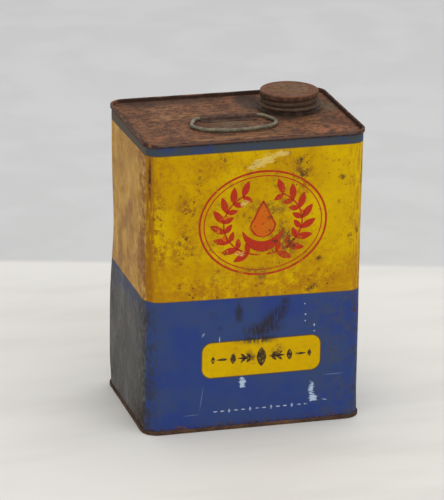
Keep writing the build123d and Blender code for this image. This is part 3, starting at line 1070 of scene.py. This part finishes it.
def wreath(side):
    """One branch of the wreath as (x, z, heading) stations from its foot to its tip."""
    centre_x, centre_z = print_centre
    wide, high = wreath_oval
    found = []
    for angle in even(*wreath_turns, wreath_steps):
        turn = radians(angle)
        x, z = centre_x + side * wide * cos(turn), centre_z + high * sin(turn)
        heading = Vector((-side * wide * sin(turn), high * cos(turn)))
        found.append((x, z, heading.angle_signed(Vector((1, 0)))))
    return found


def drop_half(share):
    """Half width of the drop at a share of its height: round below, drawn to a point above."""
    if share < drop_waist:
        round_part = max(1 - ((drop_waist - share) / drop_waist) ** 2, 0) ** 0.5
        return drop_width * round_part + least_half
    rest = (share - drop_waist) / (1 - drop_waist)
    return drop_width * (1 - rest) * (1 + 0.35 * rest) * (1 - 0.12 * sin(pi * rest)) + least_half


def front_print():
    """Red line work with orange fills: a double oval, two branches and a drop over a dish."""
    centre_x, centre_z = print_centre
    red, orange = [], []
    stroke(red, oval_line(*outer_oval), 1.6)
    stroke(red, oval_line(*inner_oval), 0.8)
    for side in (-1, 1):
        branch = wreath(side)
        stroke(red, [(x, z) for x, z, _ in branch], 1.2)
        for x, z, heading in branch[4:40:5]:
            leaf(red, x, z, heading * 180 / pi - side * 42, 13.5, 5.6)
            leaf(red, x, z, heading * 180 / pi + side * 56, 9, 4.4)
        for x, z, heading in branch[7:36:10]:
            leaf(orange, x - 2.6 * side * cos(heading), z - 3.4, 90, 5.6, 4.4, 0.5)

    # The drop, filled and outlined with a highlight, and the dish below it
    low = centre_z - drop_below
    levels = even(low, low + drop_height, drop_steps)
    halves = [drop_half(share) for share in even(0, 1, drop_steps)]
    ribbon(orange, [(centre_x, z) for z in levels], [half * drop_fill for half in halves])
    rim = [(centre_x + half, z) for half, z in zip(halves, levels)]
    rim += [(2 * centre_x - x, z) for x, z in reversed(rim)]
    stroke(red, rim, 1.6)
    stroke(red, arc((centre_x, low + 10), 6.2, 190, 255, 14), 1.2)
    dish = []
    for angle in range(-60, 61, 5):
        turn = radians(angle)
        dish.append((centre_x + dish_half * sin(turn), centre_z + dish_rise - dish_depth * cos(turn)))
    ribbon(red, dish, leaf_halves(8.4, len(dish), 0.5))
    add_print("front_print_orange", orange, orange_ink)
    add_print("front_print_red", red, red_ink)


def plate_print():
    """Dark ornament on the plate, lozenges between tapered strokes, and a pale row near the foot."""
    dark, pale = [], []
    middle_x, middle_z = plate_centre
    leaf(dark, middle_x, middle_z - 8, 90, 16, 7.5, 0.5)
    for side in (-1, 1):
        for start, length, width in ((6, 13, 2.6), (27, 9, 2)):
            leaf(dark, middle_x + side * start, middle_z, 90 - side * 90, length, width, 0.3)
        for away, tall in ((22.5, 9), (38.5, 6)):
            leaf(dark, middle_x + side * away, middle_z - tall / 2, 90, tall, tall * 0.5, 0.5)
        for start in (8, 12.5):
            for lean in (42, -42):
                leaf(dark, middle_x + side * start, middle_z, 90 - side * (90 + lean), 5.5, 2.2)

    # Dashes in pairs, with an upright dash after each pair
    for index in range(14):
        x = -31 + 5.6 * index
        if index % 3 == 2:
            leaf(pale, x, 13.6, 90, 3.4, 1.9, 0.5)
        else:
            leaf(pale, x - 1.8, 15.3, 0, 3.6, 1.1, 0.5)
    add_print("plate_print_dark", dark, dark_ink)
    add_print("foot_print_pale", pale, pale_ink)


# Stage: the line where the wall stands, in millimetres, and half the floor's side
wall_line = ((-111.1, 363.5), (265.7, 257.2))
floor_half = 12


def stage():
    """A pale table that turns to a pale wall colour past the line where the wall stands."""
    g = Graph("stage_pale")
    start, end = Vector(wall_line[0]), Vector(wall_line[1])
    across = Vector((start.y - end.y, end.x - start.x)).normalized()
    along = g.plus(g.times(g.x, across.x), g.times(g.y, across.y))
    past_line = g.ramp(g.minus(along, across.dot(start)), -4, 10)
    table = g.mix((225, 223, 218), (219, 217, 212), g.ramp(g.noise(60, stretch=(4, 1, 1)), 0.4, 0.65))
    wall = g.mix((199, 199, 199), (203, 203, 203), g.ramp(g.noise(90, seed=4), 0.4, 0.6))
    corners = [(x * floor_half, y * floor_half, 0) for x, y in ((-1, -1), (1, -1), (1, 1), (-1, 1))]
    mesh = bpy.data.meshes.new("floor")
    mesh.from_pydata(corners, [], [(0, 1, 2, 3)])
    mesh.materials.append(g.finish(g.mix(table, wall, past_line), 0.9))
    floor = add_object("floor", mesh)


# Light: the sky's strength, and each lamp's name, place, target, size, power and colour
sky_strength = 0.89
lamps = (
    ("key", (0.7, -1.8, 1.6), (0, 0, 0.12), 2.4, 13, (1, 0.99, 0.97)),
    ("top", (0.3, 0.5, 1.8), (0, 0, 0.2), 1.4, 4, (1, 1, 1)),
)


def lights():
    world = bpy.data.worlds.new("studio")
    bpy.context.scene.world = world
    world.use_nodes = True
    background = world.node_tree.nodes["Background"]
    background.inputs["Color"].default_value = (1, 1, 1, 1)
    background.inputs["Strength"].default_value = sky_strength
    for name, place, target, size, power, colour in lamps:
        lamp = bpy.data.lights.new(name, "AREA")
        lamp.shape = "DISK"
        lamp.size = size
        lamp.energy = power
        lamp.color = colour
        holder = add_object(name, lamp)
        holder.location = place
        holder.rotation_mode = "QUATERNION"
        holder.rotation_quaternion = (Vector(target) - Vector(place)).to_track_quat("-Z", "Y")


# Camera fitted to the photograph: place, axes, focal length and frame in pixels, sensor and reach
camera_place = (-0.67164, -2.35706, 0.96741)
camera_right = (0.96385482, -0.26614035, 0.0123772)
camera_up = (0.07533486, 0.31680443, 0.94549437)
camera_forward = (0.25555535, 0.91038688, -0.32540313)
focal_pixels, frame_pixels = 3329.01, 500
sensor_width, far_limit = 36, 60


def camera():
    data = bpy.data.cameras.new("camera")
    data.sensor_width = sensor_width
    data.lens = sensor_width * focal_pixels / frame_pixels
    data.clip_end = far_limit
    holder = add_object("camera", data)
    turn = Matrix((camera_right, camera_up, -Vector(camera_forward))).transposed().to_4x4()
    holder.matrix_world = Matrix.Translation(camera_place) @ turn
    bpy.context.scene.camera = holder


bpy.context.scene.view_settings.view_transform = "Standard"
camera()
stage()
lights()

# Materials: a dull tin has light, dark and stain colours, a roughness and a seed
paint = printed_tin("printed_tinplate")
red_ink = printed_tin("printed_red", (172, 42, 30))
orange_ink = printed_tin("printed_orange", (198, 92, 24))
dark_ink = dull_tin(
    "printed_dark", (70, 56, 40), (56, 44, 36), (176, 136, 12), 0.6, 17, gloss=0.05, patch=0.7
)
pale_ink = dull_tin(
    "printed_pale", (170, 180, 196), (146, 158, 182), (56, 72, 116), 0.6, 19, gloss=0.05, patch=0.8
)
lid_rust = rusted_lid()
base_rust = rusted_base()
cap_rust = rusted_cap()
# The neck's foot under the cap is brown with painted shade
neck_tin = dull_tin("neck_tin", (132, 124, 110), (96, 84, 70), (84, 58, 42), 0.5, 3, foot=234)
clip_rust = dull_tin("clip_rust", (96, 74, 62), (72, 56, 48), (60, 50, 46), 0.75, 5, gloss=0.1, patch=0.45)
wire = dull_tin("bail_wire", (124, 117, 92), (90, 85, 66), (60, 52, 40), 0.45, 7, gloss=0.4, patch=0.6)
solder = dull_tin("solder", (104, 98, 90), (66, 58, 52), (62, 46, 38), 0.6, 9, metallic=0.2)
neck_grime = dull_tin("neck_solder_grime", (92, 68, 55), (68, 52, 44), (52, 42, 37), 0.75, 15, gloss=0.05)
compound = dull_tin("sealing_compound", (44, 42, 40), (30, 29, 28), (52, 44, 36), 0.7, 11)
board = dull_tin("pulpboard", (168, 142, 100), (146, 118, 80), (120, 88, 54), 0.9, 13)

wrapper()
end_panel("upper_end", rim_top, 1, True, lid_rust, "lid_tinplate", "top_end")
end_panel("lower_end", base_low.z, -1, False, base_rust, "base_tinplate", "bottom_end")
turned("screw_cap", cap_profile(), cap_lumps, cap_thread_turns, -1, "cap", "cap_tinplate", cap_rust, "cap")
turned(
    "screw_neck", neck_profile(), neck_lumps, neck_thread_turns, 1, "tin", "neck_tinplate", neck_tin, "neck"
)
front_print()
plate_print()
for node, material in (
    ("side_seam_solder", solder),
    ("neck_solder", neck_grime),
    ("top_seam_compound", compound),
    ("bottom_seam_compound", compound),
    ("cap_liner", board),
    ("bail", wire),
    ("bail_clip", clip_rust),
):
    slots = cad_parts[node].data.materials
    slots.clear()
    slots.append(material)
